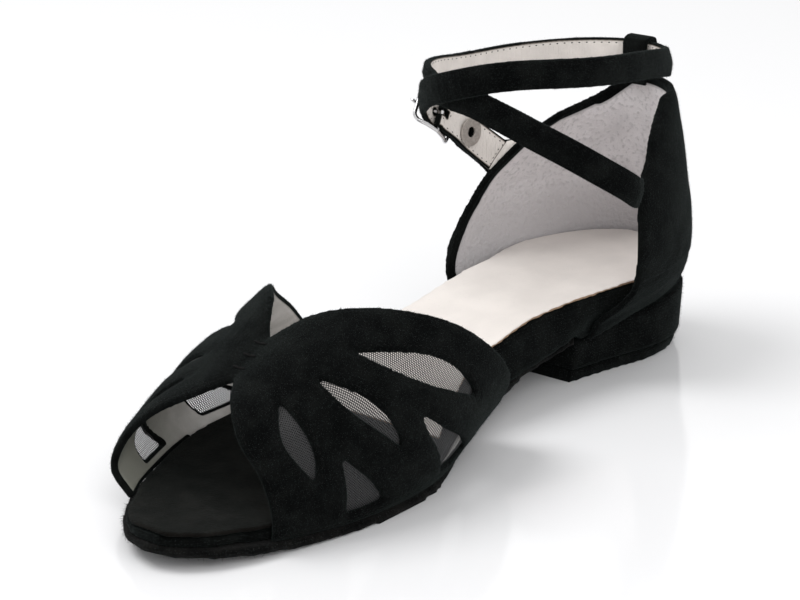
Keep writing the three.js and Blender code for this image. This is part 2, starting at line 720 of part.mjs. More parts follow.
const leafLines = (leaf) => steps(CUT_STEPS).map((t) => {
  const across = lerp(leaf.tipAcross, leaf.rootAcross, t);
  const bulge = Math.sin(Math.PI * t);
  return {
    up: lerp(leaf.tipUp, leaf.rootUp, t),
    rear: across - leaf.rear * bulge,
    front: across + leaf.front * bulge,
  };
});

const triangleLines = (cut) => steps(CUT_STEPS).map((t) => {
  const bend = cut.bow * Math.sin(Math.PI * t);
  return {
    up: lerp(cut.tipUp, cut.baseUp, t),
    rear: lerp(cut.tipAcross, cut.baseRear, t) + bend,
    front: lerp(cut.tipAcross, cut.baseFront, t) + bend,
  };
});

function vamp() {
  const sheet = manifoldOf(shell(vampSheet, steps(40, 0, 2), steps(12), UPPER_WALL));
  const cuts = (side) => [...LEAVES[side].map(leafLines), ...TRIANGLES[side].map(triangleLines)];
  const cutters = [
    ...cuts('medial').map((lines) => cutter(lines, (up) => up)),
    ...cuts('lateral').map((lines) => cutter(lines, (up) => 2 - up)),
  ];
  return geometryOf(cutters.reduce((solid, tool) => solid.subtract(tool), sheet));
}

// The counter's sheet: u is 1 at the medial front edge, 0 at the back and -1 at the
// lateral front edge; v is 0 at the sole and 1 at the rim.
function counterPoint(u, v) {
  const side = u < 0 ? 'lateral' : 'medial';
  const rows = counterSides[side];
  const share = Math.min(Math.abs(u), 1);
  const turn = (share * Math.PI) / 2;
  const along = 1 - Math.cos(turn) ** COUNTER_ROUND;
  const foot = floorAt(along * rows.front(FOOT_LEVEL)) / COUNTER_HEIGHT;
  const height = lerp(foot, lerp(RIM.back, RIM[side], share), v);
  const at = lerp(rows.back(height), rows.front(height), along);
  const aside = rows.half(height) * Math.sin(turn) ** COUNTER_ROUND
    + rows.belly(height) * Math.sin(2 * turn);
  return new THREE.Vector3(place(at), Math.sign(u) * aside * COUNTER_WIDTH, height * COUNTER_HEIGHT);
}

// Round the cup from the medial edge to the lateral edge.
const counterSheet = (u, v) => counterPoint(1 - u, v);

// Steps round one side of the cup, close together at the round back.
const cupSteps = () => steps(COUNTER_STEPS).map((t) => {
  const along = t * t * (2 - t);
  return (2 / Math.PI) * Math.acos((1 - along) ** (1 / COUNTER_ROUND));
});

function counter() {
  const side = cupSteps();
  const us = [...[...side].reverse().map((u) => 1 - u), ...side.slice(1).map((u) => 1 + u)];
  return shell(counterSheet, us, steps(14), UPPER_WALL);
}

const anklePoint = (row) => new THREE.Vector3(
  place(STRAP_BACK) + row.at * ANKLE_LENGTH,
  row.side * ANKLE_WIDTH,
  row.height * STRAP_HEIGHT,
);

const ankleCentre = anklePoint({ ...ANKLE_CENTRE, height: 0 });

// The buckle's own directions: along the strap, away from the ankle, and across.
const buckle = (() => {
  const middle = anklePoint(BUCKLE_CENTRE);
  const along = new THREE.Vector3(BUCKLE_AIM.x, BUCKLE_AIM.y, BUCKLE_AIM.z).normalize();
  const out = new THREE.Vector3(middle.x - ankleCentre.x, middle.y - ankleCentre.y, 0);
  out.addScaledVector(along, -out.dot(along)).normalize();
  const across = new THREE.Vector3().crossVectors(out, along);
  return { middle, along, out, across };
})();

const atBuckle = (along, out, across = 0) => buckle.middle.clone()
  .addScaledVector(buckle.along, along)
  .addScaledVector(buckle.out, out)
  .addScaledVector(buckle.across, across);

const buckleCurve = (rows) => rows.map((row) =>
  atBuckle(row.along * BUCKLE_LENGTH, row.out * STRAP_THICKNESS));

function ankleStrap() {
  const points = [...STRAP_PATH.map(anklePoint), ...buckleCurve(STRAP_END)];
  const curve = new THREE.CatmullRomCurve3(points);
  const strap = band(curve, STRAP_STEPS, STRAP_WIDTH, STRAP_THICKNESS);
  const hole = wire(prongPoints(), PRONG / 2 + GAP, WIRE_SIDES, false);
  return geometryOf(manifoldOf(strap).subtract(manifoldOf(hole)));
}

// The middle bar's line, long enough to reach both side bars.
const barPoints = (reach) => steps(2, -reach, reach).map((across) => atBuckle(0, 0, across));

const tabCurve = new THREE.CatmullRomCurve3(buckleCurve(TAB_PATH));

function rod(points, radius, sides = WIRE_SIDES) {
  return manifoldOf(wire(points, radius, sides, false));
}

// A short rod square to the tab at the rivet, between two depths inside its face.
function rivetRod(radius, from, to) {
  const { point, out } = directions(tabCurve, RIVET_PLACE);
  const points = steps(2, from, to).map((depth) => point.clone().addScaledVector(out, -depth));
  return rod(points, radius, RIVET_SIDES);
}

// The tab ends in a sleeve round the buckle's middle bar, open where the prong sits.
function buckleTab() {
  const sleeve = rod(barPoints(TAB_WIDTH / 2), SLEEVE / 2, RIVET_SIDES / 2);
  const bore = rod(barPoints(TAB_WIDTH), WIRE / 2 + GAP, RIVET_SIDES / 2);
  const slot = rod(barPoints(PRONG / 2 + GAP), SLEEVE / 2 + GAP);
  const hole = rivetRod(RIVET_HOLE, -TAB_THICKNESS, TAB_THICKNESS);
  const tab = manifoldOf(band(tabCurve, TAB_STEPS, TAB_WIDTH, TAB_THICKNESS));
  return geometryOf(tab.add(sleeve).subtract(bore).subtract(slot).subtract(hole));
}

function rivet() {
  const face = TAB_THICKNESS / 2 + RIVET_ROOM;
  const disc = rivetRod(RIVET_RADIUS, face, face + RIVET_HEIGHT);
  return geometryOf(disc.subtract(rivetRod(RIVET_HOLE, 0, RIVET_RADIUS)));
}

// Rounded wire frame, bowed so that its ends stand further out than its middle bar.
function buckleFrame() {
  const [half, side] = [(BUCKLE_LENGTH - WIRE) / 2, (BUCKLE_WIDTH - WIRE) / 2];
  const { corner, steps: count } = BUCKLE_ROUND;
  const quarters = [[1, 1, 0], [-1, 1, 1], [-1, -1, 2], [1, -1, 3]];
  const outlinePoints = quarters.flatMap(([sx, sy, quarter]) => {
    const arc = steps(count).map((t) => {
      const turn = (quarter + t) * (Math.PI / 2);
      const along = sx * (half - corner) + corner * Math.cos(turn);
      return [along, sy * (side - corner) + corner * Math.sin(turn)];
    });
    const next = quarter % 2 ? [] : [0.5, 0, -0.5].map((k) => [k * sx * half, sy * side]);
    return [...arc, ...next];
  });
  const points = outlinePoints.map(([along, across]) =>
    atBuckle(along, BUCKLE_BOW * (along / half) ** 2, across));
  const bar = rod(barPoints(side), WIRE / 2, WIRE_SIDES);
  return geometryOf(manifoldOf(wire(points, WIRE / 2, WIRE_SIDES, true)).add(bar));
}

const prongPoints = () => PRONG_PATH.map(({ along, out }) =>
  atBuckle(along * BUCKLE_LENGTH, out * STRAP_THICKNESS));

// The loop stands astride the counter's back rim and holds the strap. It is rounded on top.
function heelLoop() {
  const inner = STRAP_THICKNESS / 2 + LOOP_ROOM;
  const outer = inner + LOOP_WALL;
  const foot = COUNTER_HEIGHT * RIM.back - LOOP_LEG;
  const top = STRAP_HEIGHT * LOOP_LEVEL + STRAP_WIDTH / 2 + GAP + LOOP_WALL;
  const { radius } = LOOP_ROUND;
  const shape = new THREE.Shape();
  shape.moveTo(-outer, foot);
  shape.lineTo(-inner, foot);
  shape.absarc(radius - outer, top - radius, radius - LOOP_WALL, Math.PI, Math.PI / 2, true);
  shape.absarc(outer - radius, top - radius, radius - LOOP_WALL, Math.PI / 2, 0, true);
  shape.lineTo(inner, foot);
  shape.lineTo(outer, foot);
  shape.absarc(outer - radius, top - radius, radius, 0, Math.PI / 2, false);
  shape.absarc(radius - outer, top - radius, radius, Math.PI / 2, Math.PI, false);
  const options = { depth: LOOP_WIDTH, bevelEnabled: false, curveSegments: LOOP_ROUND.steps };
  const geometry = new THREE.ExtrudeGeometry(shape, options);
  geometry.rotateX(Math.PI / 2);
  geometry.translate(place(STRAP_BACK), LOOP_WIDTH / 2 + LOOP_SHIFT, 0);
  return geometry;
}

// The prong rises from the middle bar through the strap and rests on the front bar.
const prong = () => wire(prongPoints(), PRONG / 2, WIRE_SIDES, false);

const group = new THREE.Group();
function add(name, geometry, finish) {
  const mesh = new THREE.Mesh(geometry, new THREE.MeshStandardMaterial(finish));
  mesh.name = name;
  group.add(mesh);
}

add('outsole', outsole(), SUEDE);
add('insole', insole(), SUEDE);
add('sock_heel', sock(SEAT_START, SOCK_JOIN - GAP / LENGTH), LIGHT_LEATHER);
add('sock_toe', sock(SOCK_JOIN, 1 - (TOE_MARGIN + SOCK_MARGIN) / LENGTH), SUEDE);
add('heel_block', heelBlock(), SUEDE);
add('heel_lift', heelLift(), SUEDE);
add('vamp', vamp(), SUEDE);
add('counter', counter(), SUEDE);
add('ankle_strap', ankleStrap(), SUEDE);
add('buckle_tab', buckleTab(), SUEDE);
add('buckle_frame', buckleFrame(), SILVER);
add('buckle_prong', prong(), SILVER);
add('rivet', rivet(), RIVET_METAL);
add('heel_loop', heelLoop(), SUEDE);

export default group;
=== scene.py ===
"""Looks of a right ballroom dance sandal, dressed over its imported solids.

Metres. +X points to the toe, +Y to the medial side, +Z up. Sizes that end in
_MM are in millimetres.
"""

import math

import bmesh
import bpy
import numpy as np
from mathutils import Matrix, Vector
from mathutils.bvhtree import BVHTree
from mathutils.kdtree import KDTree


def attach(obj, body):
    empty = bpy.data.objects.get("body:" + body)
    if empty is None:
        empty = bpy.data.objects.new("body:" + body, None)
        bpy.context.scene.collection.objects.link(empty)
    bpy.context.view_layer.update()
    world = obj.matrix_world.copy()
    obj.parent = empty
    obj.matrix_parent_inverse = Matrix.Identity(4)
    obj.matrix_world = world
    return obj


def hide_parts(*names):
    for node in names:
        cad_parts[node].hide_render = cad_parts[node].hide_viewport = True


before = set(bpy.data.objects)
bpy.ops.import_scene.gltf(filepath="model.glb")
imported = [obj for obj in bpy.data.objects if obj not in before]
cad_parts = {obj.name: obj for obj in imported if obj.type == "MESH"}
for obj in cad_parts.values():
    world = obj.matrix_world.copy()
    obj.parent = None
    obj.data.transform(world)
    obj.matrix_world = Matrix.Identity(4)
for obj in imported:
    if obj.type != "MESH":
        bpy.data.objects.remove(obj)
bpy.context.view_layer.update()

MM = 0.001
BODY = "root"

# The photograph's eye and the way it looks at the shoe.
EYE = Vector((0.5995, 0.4318, 0.2787))
FORWARD = Vector((-0.71547, -0.61310, -0.33498))
ROLL = math.radians(-1.262)
LENS_MM = 108
SENSOR_MM = 36

# Where things are, in millimetres.
ANKLE_MIDDLE = (26.0, -2.0)
CUP_MIDDLE = (4.0, 0.0)
VAMP_AXIS = {"height": 14.0, "side": -1.0}
KNOT_REAR = (153.0, 1.3, 48.6)
KNOT_FRONT = (168.5, 2.3, 41.6)

# A cut edge bends more than SHARP. One of its faces looks OUTWARD at least, and the two
# differ by TURNED at least. The vamp's thin rim asks for less. Loops that end within
# LOOP_GAP_MM are closed, and distances are taken from points EDGE_STEP_MM apart.
WELD_MM = 0.002
SHARP = math.radians(48)
OUTWARD = 0.5
TURNED = 0.3
VAMP_EDGES = {"least": 0.2, "differing": 0.12}
LOOP_GAP_MM = 4
EDGE_STEP_MM = 0.4

# Each piece's skin: its voxel size, and its rounds of evening out and of softening.
SKINS = {
    "vamp": (0.64, 4, 2),
    "counter": (0.68, 4, 2),
    "ankle_strap": (0.48, 4, 2),
    "buckle_tab": (0.32, 4, 0),
    "heel_loop": (0.3, 14, 3),
    "insole": (1.2, 3, 0),
    "heel_block": (1.0, 3, 0),
    "heel_lift": (0.9, 3, 0),
    "outsole": (1.05, 2, 0),
    "sock_toe": (0.75, 2, 0),
    "sock_heel": (0.74, 2, 0),
    "buckle_frame": (0.18, 6, 0),
    "buckle_prong": (0.14, 6, 0),
    "rivet": (0.16, 3, 0),
}

# Distances from a cut edge: seams, and where the lining begins. NO_SEAM_MM is out of reach.
TOPSTITCH_MM = 1.5
COUNTER_STITCH_MM = 1.8
STRAP_STITCH_MM = 1.3
RIM_FOLD_MM = 3.1
VAMP_FOLD_MM = 1.1
STRAP_FOLD_MM = 0.55
NO_SEAM_MM = 40.0

# Padding: how far it swells and how soon past the edge.
VAMP_PAD_MM = (0.45, 1.7)
COUNTER_PAD_MM = (0.4, 1.8)
STRAP_PAD_MM = (0.75, 2.6)

# The counter's folded rim stands proud of its lining. Below the seat it stays plain.
RIM_STEP_MM = 0.15
RIM_SLOPE_MM = 0.4
CUP_FLOOR_MM = 34
CUP_SEAM_FLOOR_MM = 33

# Stitches: length, width and height, and the pitch from one to the next. They lie within
# SEAM_REACH_MM of the skin, where it looks their way by SEAM_FACING, and sink into it.
VAMP_STITCH = {"size": (1.35, 0.42, 0.36), "pitch": 2.0}
COUNTER_STITCH = {"size": (1.4, 0.4, 0.34), "pitch": 2.2}
STRAP_STITCH = {"size": (1.4, 0.38, 0.3), "pitch": 2.4}
LINING_STITCH = {"size": (0.8, 0.42, 0.3), "pitch": 2.4}
KNOT_STITCH_MM = (3.4, 0.95, 0.8)
KNOT_SHARES = (0.2, 0.5, 0.8)
KNOT_REACH_MM = 1.2
SEAM_REACH_MM = 1.6
SEAM_FACING = 0.3
DEEP_SEAM_MM = 0.12
STRAP_SEAM_MM = 0.1
LINING_SEAM_MM = 0.05

# The net: pitch of its threads, the radius that turns angles into lengths, how far it
# reaches past a cut-out, its depth in the wall, the step of its rim, the span that no
# cut-out passes, and its rounds of smoothing.
NET_PITCH_MM = 0.76
NET_RADIUS_MM = 32
NET_RIM_MM = 0.6
NET_DEPTH_MM = 0.7
NET_STEP_MM = 1.2
NET_SPAN_MM = 60
NET_ROUNDS = 60

# Painted shade darkens the cup's lining from the second height down to the first,
# and the vamp's lining from the first length to the second, towards the toe.
CUP_SHADE_MM = (34, 58)
VAMP_TOE_SHADE_MM = (128, 172)

# The tab's sleeve round the buckle's bar has no lining.
SLEEVE_MM = 3.4

# The tab's tail: how far its ends sink into what they join, how far its foot spreads,
# and the cuts along each of its sides.
ROOT_SINK_MM = 0.5
ROOT_SPREAD = 0.45
ROOT_CUTS = 5

# Soft creases: points along them, width and depth, and ridges where the depth is negative.
VAMP_CREASES = [
    ([(153, -6, 47), (150, -16, 45), (144, -26, 40)], 2.6, 0.45),
    ([(160, -8, 43), (160, -19, 39), (157, -29, 32)], 2.2, 0.35),
    ([(153, 8, 47), (149, 18, 45), (143, 28, 40)], 2.6, 0.45),
    ([(160, 10, 43), (160, 21, 38), (157, 30, 31)], 2.2, 0.35),
    ([(156, -7, 45), (155, -17, 42), (151, -28, 36)], 1.8, -0.3),
    ([(156, 9, 45), (155, 19, 42), (151, 30, 35)], 1.8, -0.3),
]
COUNTER_CREASES = [
    ([(-22, -19, 62), (-12, -27, 52), (2, -31, 43)], 4.0, 0.5),
    ([(-24, 16, 64), (-14, 26, 53), (0, 31, 43)], 4.0, 0.5),
    ([(-28, -9, 55), (-19, -23, 45), (-6, -30, 38)], 3.0, 0.35),
    ([(-29, 8, 56), (-20, 22, 46), (-7, 30, 38)], 3.0, 0.35),
]

# Nap fibres of each piece: how many, and their length and width. Lengths vary by
# NAP_LENGTHS. Linings, which look inward by SUEDE_SIDE, carry none. The sole's nap begins
# at a length and a height, the wrapping's at a height, and both keep to upright sides.
SEED = 7
NAP = {
    "vamp": (22000, 0.7, 0.06),
    "counter": (18000, 0.65, 0.06),
    "strap": (14000, 0.6, 0.06),
    "sole": (20000, 1.3, 0.09),
    "insole": (18000, 0.9, 0.08),
    "heel_block": (5000, 0.9, 0.08),
    "heel_lift": (5000, 0.9, 0.08),
}
NAP_LENGTHS = (0.5, 1.3)
LEAN = 0.75
NAP_ROOT_MM = 0.05
SUEDE_SIDE = 0.15
SOLE_NAP_FROM_MM = (60, 1.6)
SOLE_UPRIGHT = 0.7
WRAP_NAP_FROM_MM = 1.2
WRAP_UPRIGHT = 0.8

# Grains of the materials: size in millimetres, octaves, roughness and stretch.
GRAIN = {
    "nap_sheen_patches": (9, 4, 0.6),
    "nap_grain": (0.9, 3, 0.7),
    "nap_strands": (0.55, 3, 0.7, (1.0, 2.2, 0.7)),
    "cup_clouds": (9, 3),
    "cup_pebbles": (1.3, 2, 0.5),
    "cup_hair": (0.35, 3, 0.65, (1.0, 2.4, 0.5)),
    "strap_clouds": (7, 3),
    "strap_wrinkles": (1.8, 2, 0.5, (2.4, 2.4, 0.3)),
    "strap_grain": (0.5, 3, 0.6),
    "vamp_clouds": (6, 3),
    "vamp_grain": (0.4, 3, 0.6),
    "sock_clouds": (16, 4),
    "sock_pores": (0.7, 3, 0.6),
    "sock_grain": (2.4, 2),
    "sock_tan": (0.5, 2),
    "thread_twist": (0.25, 2, 0.5, (1, 2, 2)),
    "wire_scratches": (0.5, 3, 0.6, (0.4, 3, 3)),
    "washer_rub": (0.8, 4, 0.65),
    "net_tone": (0.4, 2),
    "fibre_tone": (1.2, 2),
}
CLOUDY = (0.3, 0.7)

# Studio: the floor's half size in metres, the sky, and each lamp's place, size and watts.
FLOOR_REACH = 6
SKY = 0.85
AIM = (0.08, 0, 0.05)
LAMPS = {
    "key": ((0.5, -0.7, 1.4), 1.0, 14),
    "fill": ((0.6, 1.1, 0.9), 1.2, 7),
}

# Colours are linear.
# The NAP tones are lighter tones that nap_of lays over the DEEP tones in random patches, as painted
# sheen.
SUEDE_DEEP = (0.0016, 0.0018, 0.0018)
SUEDE_NAP = (0.0045, 0.0050, 0.0047)
SUEDE_FIBRE = (0.014, 0.0185, 0.0175)
FIBRE_TIP = (0.03, 0.043, 0.041)
CUP_LINING = (0.80, 0.765, 0.775)
STRAP_LINING = (0.78, 0.73, 0.69)
VAMP_LINING = (0.64, 0.62, 0.60)
# The vamp's lining in painted shade, deep in the toe.
VAMP_LINING_SHADED = (0.26, 0.26, 0.225)
SOCK_LEATHER = (0.70, 0.655, 0.62)
SOCK_EDGE = (0.33, 0.22, 0.14)
THREAD_BLACK = (0.003, 0.003, 0.003)
SILVER = (0.6, 0.6, 0.61)
WASHER = (0.44, 0.40, 0.365)
NET_BLACK = (0.007, 0.007, 0.0075)
TOE_SOCK_DEEP = (0.0042, 0.0037, 0.0032)
TOE_SOCK_NAP = (0.0088, 0.0078, 0.0070)
OUTSOLE_NAP = (0.006, 0.0059, 0.0055)
OUTSOLE_FIBRE = (0.03, 0.029, 0.027)
STRAP_EDGE = (0.22, 0.19, 0.165)
SUEDE_SHEEN = (0.75, 0.95, 0.92, 1)
FLOOR = (0.80, 0.80, 0.81)


# Node trees

def put(tree, kind, inputs=None, **settings):
    """Adds a node. An input that is a socket is linked, and any other is set."""
    node = tree.nodes.new(kind)
    for key, value in settings.items():
        setattr(node, key, value)
    for key, value in (inputs or {}).items():
        if isinstance(value, bpy.types.NodeSocket):
            tree.links.new(value, node.inputs[key])
        elif value is not None:
            node.inputs[key].default_value = value
    return node


def calc(tree, operation, a, b=None):
    return put(tree, "ShaderNodeMath", {0: a, 1: b}, operation=operation).outputs[0]


def mix(tree, factor, a, b):
    paint = [c if isinstance(c, bpy.types.NodeSocket) else (*c, 1.0) for c in (a, b)]
    node = put(tree, "ShaderNodeMix", {0: factor, 6: paint[0], 7: paint[1]}, data_type="RGBA")
    return node.outputs[2]


def blend_value(tree, factor, a, b):
    return put(tree, "ShaderNodeMix", {0: factor, 2: a, 3: b}, data_type="FLOAT").outputs[0]


def step(tree, value, low, high):
    """0 below low, 1 above high, smooth between."""
    inputs = {"Value": value, "From Min": low, "From Max": high}
    node = put(tree, "ShaderNodeMapRange", inputs, interpolation_type="SMOOTHSTEP")
    return node.outputs[0]


def noise(tree, place, size_mm, detail=2.0, roughness=0.5, stretch=(1, 1, 1)):
    if stretch != (1, 1, 1):
        place = put(tree, "ShaderNodeMapping", {"Vector": place, "Scale": stretch}).outputs[0]
    inputs = {
        "Vector": place,
        "Scale": 1 / (size_mm * MM),
        "Detail": detail,
        "Roughness": roughness,
    }
    return put(tree, "ShaderNodeTexNoise", inputs).outputs["Fac"]


def ramp_along(tree, place, axis, low_mm, high_mm):
    """0 below low_mm, 1 above high_mm, along the object's axis 0, 1 or 2."""
    across = put(tree, "ShaderNodeSeparateXYZ", {0: place}).outputs[axis]
    return step(tree, across, low_mm * MM, high_mm * MM)


def attribute(tree, name):
    return put(tree, "ShaderNodeAttribute", attribute_name=name).outputs["Fac"]


def bump(tree, height, distance_mm, strength=1.0, normal=None):
    inputs = {"Height": height, "Distance": distance_mm * MM, "Strength": strength, "Normal": normal}
    return put(tree, "ShaderNodeBump", inputs).outputs[0]


def fresh(name):
    """A new material with its tree, its surface shader and the object's coordinates."""
    material = bpy.data.materials.new(name)
    material.use_nodes = True
    tree = material.node_tree
    shader = tree.nodes["Principled BSDF"]
    place = put(tree, "ShaderNodeTexCoord").outputs["Object"]
    return material, tree, shader, place


def feed(tree, shader, **sockets):
    for key, value in sockets.items():
        socket = shader.inputs[key.replace("_", " ")]
        if isinstance(value, bpy.types.NodeSocket):
            tree.links.new(value, socket)
        else:
            socket.default_value = value


# Materials

def shaded(colour, share):
    return tuple(share * c for c in colour)


def nap_of(tree, place, deep, nap, fibre):
    """Colour and height of a brushed nap: painted sheen in random patches where the nap lies either
    way, and pale fibres.
    """
    patches = noise(tree, place, *GRAIN["nap_sheen_patches"])
    # Painted sheen: random patches take the lighter nap tone and show more pale fibres.
    sheen_patch = step(tree, patches, 0.38, 0.66)
    base = mix(tree, sheen_patch, deep, nap)
    grain = noise(tree, place, *GRAIN["nap_grain"])
    strands = noise(tree, place, *GRAIN["nap_strands"])
    speck = step(tree, strands, 0.52, 0.74)
    pale = calc(tree, "MULTIPLY", speck, blend_value(tree, sheen_patch, 0.3, 0.8))
    colour = mix(tree, pale, base, fibre)
    height = calc(tree, "ADD", grain, calc(tree, "MULTIPLY", strands, 0.9))
    return colour, height


def suede(name, lining=None, fold_mm=0.4, turned=0.35, stitched_mm=TOPSTITCH_MM,
          deep=SUEDE_DEEP, nap=SUEDE_NAP):
    """Black suede. Where the sheet looks inward, past the folded edge, its lining shows."""
    material, tree, shader, place = fresh(name)
    colour, height = nap_of(tree, place, deep, nap, SUEDE_FIBRE)
    roughness = 0.93
    edge = attribute(tree, "edge")
    seam = calc(tree, "ABSOLUTE", calc(tree, "SUBTRACT", edge, stitched_mm))
    groove = step(tree, seam, 0.0, 0.5)
    normal = bump(tree, groove, 0.12, 0.5)
    if lining:
        inner = step(tree, attribute(tree, "inner"), turned - 0.12, turned + 0.12)
        past = step(tree, edge, fold_mm - 0.15, fold_mm + 0.15)
        mask = calc(tree, "MULTIPLY", inner, past)
        cloth, cloth_height = lining(tree, place, edge)
        colour = mix(tree, mask, colour, cloth)
        height = blend_value(tree, mask, height, cloth_height)
        roughness = blend_value(tree, mask, roughness, 0.72)
    normal = bump(tree, height, 0.3, 0.8, normal)
    feed(tree, shader, Base_Color=colour, Roughness=roughness, Normal=normal,
         Sheen_Weight=0.035, Sheen_Roughness=0.4, Specular_IOR_Level=0.03)
    shader.inputs["Sheen Tint"].default_value = SUEDE_SHEEN
    return material


def brushed_lining(tree, place, edge):
    """Pale lavender-grey suede lining with short fibres, faint clouds, and painted shade low and by
    the rim.
    """
    clouds = step(tree, noise(tree, place, *GRAIN["cup_clouds"]), *CLOUDY)
    soft = mix(tree, clouds, shaded(CUP_LINING, 0.88), CUP_LINING)
    pebbles = noise(tree, place, *GRAIN["cup_pebbles"])
    soft = mix(tree, step(tree, pebbles, 0.5, 0.72), soft, shaded(CUP_LINING, 0.74))
    strands = noise(tree, place, *GRAIN["cup_hair"])
    hair = step(tree, strands, 0.56, 0.74)
    colour = mix(tree, calc(tree, "MULTIPLY", hair, 0.35), soft, shaded(CUP_LINING, 0.62))
    # Painted shade: the lining darkens low in the cup, down by the sock.
    low = ramp_along(tree, place, 2, *CUP_SHADE_MM)
    colour = mix(tree, low, shaded(CUP_LINING, 0.68), colour)
    # Painted shade: the lining darkens just past the folded rim.
    rim = step(tree, edge, RIM_FOLD_MM, RIM_FOLD_MM + 1.2)
    colour = mix(tree, rim, shaded(CUP_LINING, 0.55), colour)
    return colour, calc(tree, "ADD", strands, calc(tree, "MULTIPLY", pebbles, 2.6))


def strap_lining(tree, place, edge):
    """Smooth cream leather, a little darker towards its dyed edges."""
    clouds = step(tree, noise(tree, place, *GRAIN["strap_clouds"]), 0.3, 0.75)
    cream = mix(tree, clouds, shaded(STRAP_LINING, 0.88), STRAP_LINING)
    colour = mix(tree, step(tree, edge, 0.6, 1.0), STRAP_EDGE, cream)
    wrinkles = noise(tree, place, *GRAIN["strap_wrinkles"])
    fine = noise(tree, place, *GRAIN["strap_grain"])
    return colour, calc(tree, "ADD", fine, calc(tree, "MULTIPLY", wrinkles, 2.2))


def vamp_lining(tree, place, edge):
    """Light grey by the peaks, and darkened by painted shade towards the toe."""
    toe_shade = ramp_along(tree, place, 0, *VAMP_TOE_SHADE_MM)
    base = mix(tree, toe_shade, VAMP_LINING, VAMP_LINING_SHADED)
    clouds = step(tree, noise(tree, place, *GRAIN["vamp_clouds"]), *CLOUDY)
    colour = mix(tree, calc(tree, "MULTIPLY", clouds, 0.25), base, shaded(VAMP_LINING_SHADED, 0.8))
    return colour, noise(tree, place, *GRAIN["vamp_grain"])


def sock_leather():
    """Light sock leather: fine grain, pores, faint clouds, and a tan raw edge."""
    material, tree, shader, place = fresh("sock_leather")
    clouds = step(tree, noise(tree, place, *GRAIN["sock_clouds"]), *CLOUDY)
    pale = mix(tree, clouds, shaded(SOCK_LEATHER, 0.9), SOCK_LEATHER)
    pores = noise(tree, place, *GRAIN["sock_pores"])
    pale = mix(tree, step(tree, pores, 0.62, 0.8), pale, shaded(SOCK_LEATHER, 0.78))
    raw = step(tree, attribute(tree, "flank"), 0.45, 0.75)
    tan = mix(tree, noise(tree, place, *GRAIN["sock_tan"]), shaded(SOCK_EDGE, 0.6), SOCK_EDGE)
    colour = mix(tree, raw, pale, tan)
    grain = calc(tree, "ADD", pores, noise(tree, place, *GRAIN["sock_grain"]))
    feed(tree, shader, Base_Color=colour, Roughness=blend_value(tree, raw, 0.5, 0.85),
         Normal=bump(tree, grain, 0.1, 0.5), Specular_IOR_Level=0.4)
    return material


def outsole_suede():
    """Brushed sole leather, rough at its cut edge."""
    material, tree, shader, place = fresh("outsole_suede")
    colour, height = nap_of(tree, place, SUEDE_DEEP, OUTSOLE_NAP, OUTSOLE_FIBRE)
    feed(tree, shader, Base_Color=colour, Roughness=0.95, Sheen_Weight=0.03,
         Normal=bump(tree, height, 0.4, 0.9), Specular_IOR_Level=0.03)
    return material


def thread(name):
    """Black sewing thread with its twist."""
    material, tree, shader, place = fresh(name)
    twist = noise(tree, place, *GRAIN["thread_twist"])
    tone = mix(tree, twist, THREAD_BLACK, shaded(THREAD_BLACK, 2.5))
    feed(tree, shader, Base_Color=tone, Roughness=0.8, Normal=bump(tree, twist, 0.06, 0.6),
         Specular_IOR_Level=0.08)
    return material


def wire_metal():
    """Bright plated wire with fine scratches."""
    material, tree, shader, place = fresh("silver_wire")
    scratches = noise(tree, place, *GRAIN["wire_scratches"])
    roughness = blend_value(tree, scratches, 0.14, 0.3)
    feed(tree, shader, Base_Color=(*SILVER, 1), Metallic=1.0, Roughness=roughness,
         Normal=bump(tree, scratches, 0.02, 0.3))
    return material


def washer_metal():
    """Rubbed beige-grey metal."""
    material, tree, shader, place = fresh("washer_metal")
    rub = noise(tree, place, *GRAIN["washer_rub"])
    colour = mix(tree, step(tree, rub, 0.35, 0.7), shaded(WASHER, 0.7), WASHER)
    feed(tree, shader, Base_Color=colour, Metallic=0.4, Roughness=0.42,
         Normal=bump(tree, rub, 0.04, 0.4))
    return material


def net_cloth():
    """Fine see-through net: two families of threads with open cells between."""
    material, tree, shader, place = fresh("net_cloth")
    cells = []
    for name in ("net_left", "net_right"):
        turn = calc(tree, "FRACT", attribute(tree, name))
        ridge = calc(tree, "ABSOLUTE", calc(tree, "SUBTRACT", turn, 0.5))
        cells.append(step(tree, ridge, 0.24, 0.3))
    threads = calc(tree, "MAXIMUM", cells[0], cells[1])
    tone = mix(tree, noise(tree, place, *GRAIN["net_tone"]), NET_BLACK, shaded(NET_BLACK, 3))
    feed(tree, shader, Base_Color=tone, Roughness=0.6,
         Alpha=blend_value(tree, threads, 0.06, 1.0))
    return material


def floor_paint():
    material, tree, shader, _ = fresh("studio_floor")
    feed(tree, shader, Base_Color=(*FLOOR, 1), Roughness=0.12, Specular_IOR_Level=0.6)
    return material


# Mesh code

def link(name, mesh, material):
    piece = bpy.data.objects.new(name, mesh)
    bpy.context.scene.collection.objects.link(piece)
    piece.data.materials.clear()
    piece.data.materials.append(material)
    piece.data.shade_smooth()
    return piece


def welded(node):
    """A CAD node's mesh with its split corners joined again."""
    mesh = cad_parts[node].data.copy()
    whole = bmesh.new()
    whole.from_mesh(mesh)
    bmesh.ops.remove_doubles(whole, verts=whole.verts, dist=WELD_MM * MM)
    whole.normal_update()
    return mesh, whole


def welded_mesh(node):
    mesh, whole = welded(node)
    whole.to_mesh(mesh)
    whole.free()
    return mesh


def places(mesh):
    flat = np.empty(len(mesh.vertices) * 3)
    mesh.vertices.foreach_get("co", flat)
    return flat.reshape(-1, 3)


def normals(mesh):
    flat = np.empty(len(mesh.vertices) * 3)
    mesh.vertices.foreach_get("normal", flat)
    return flat.reshape(-1, 3)


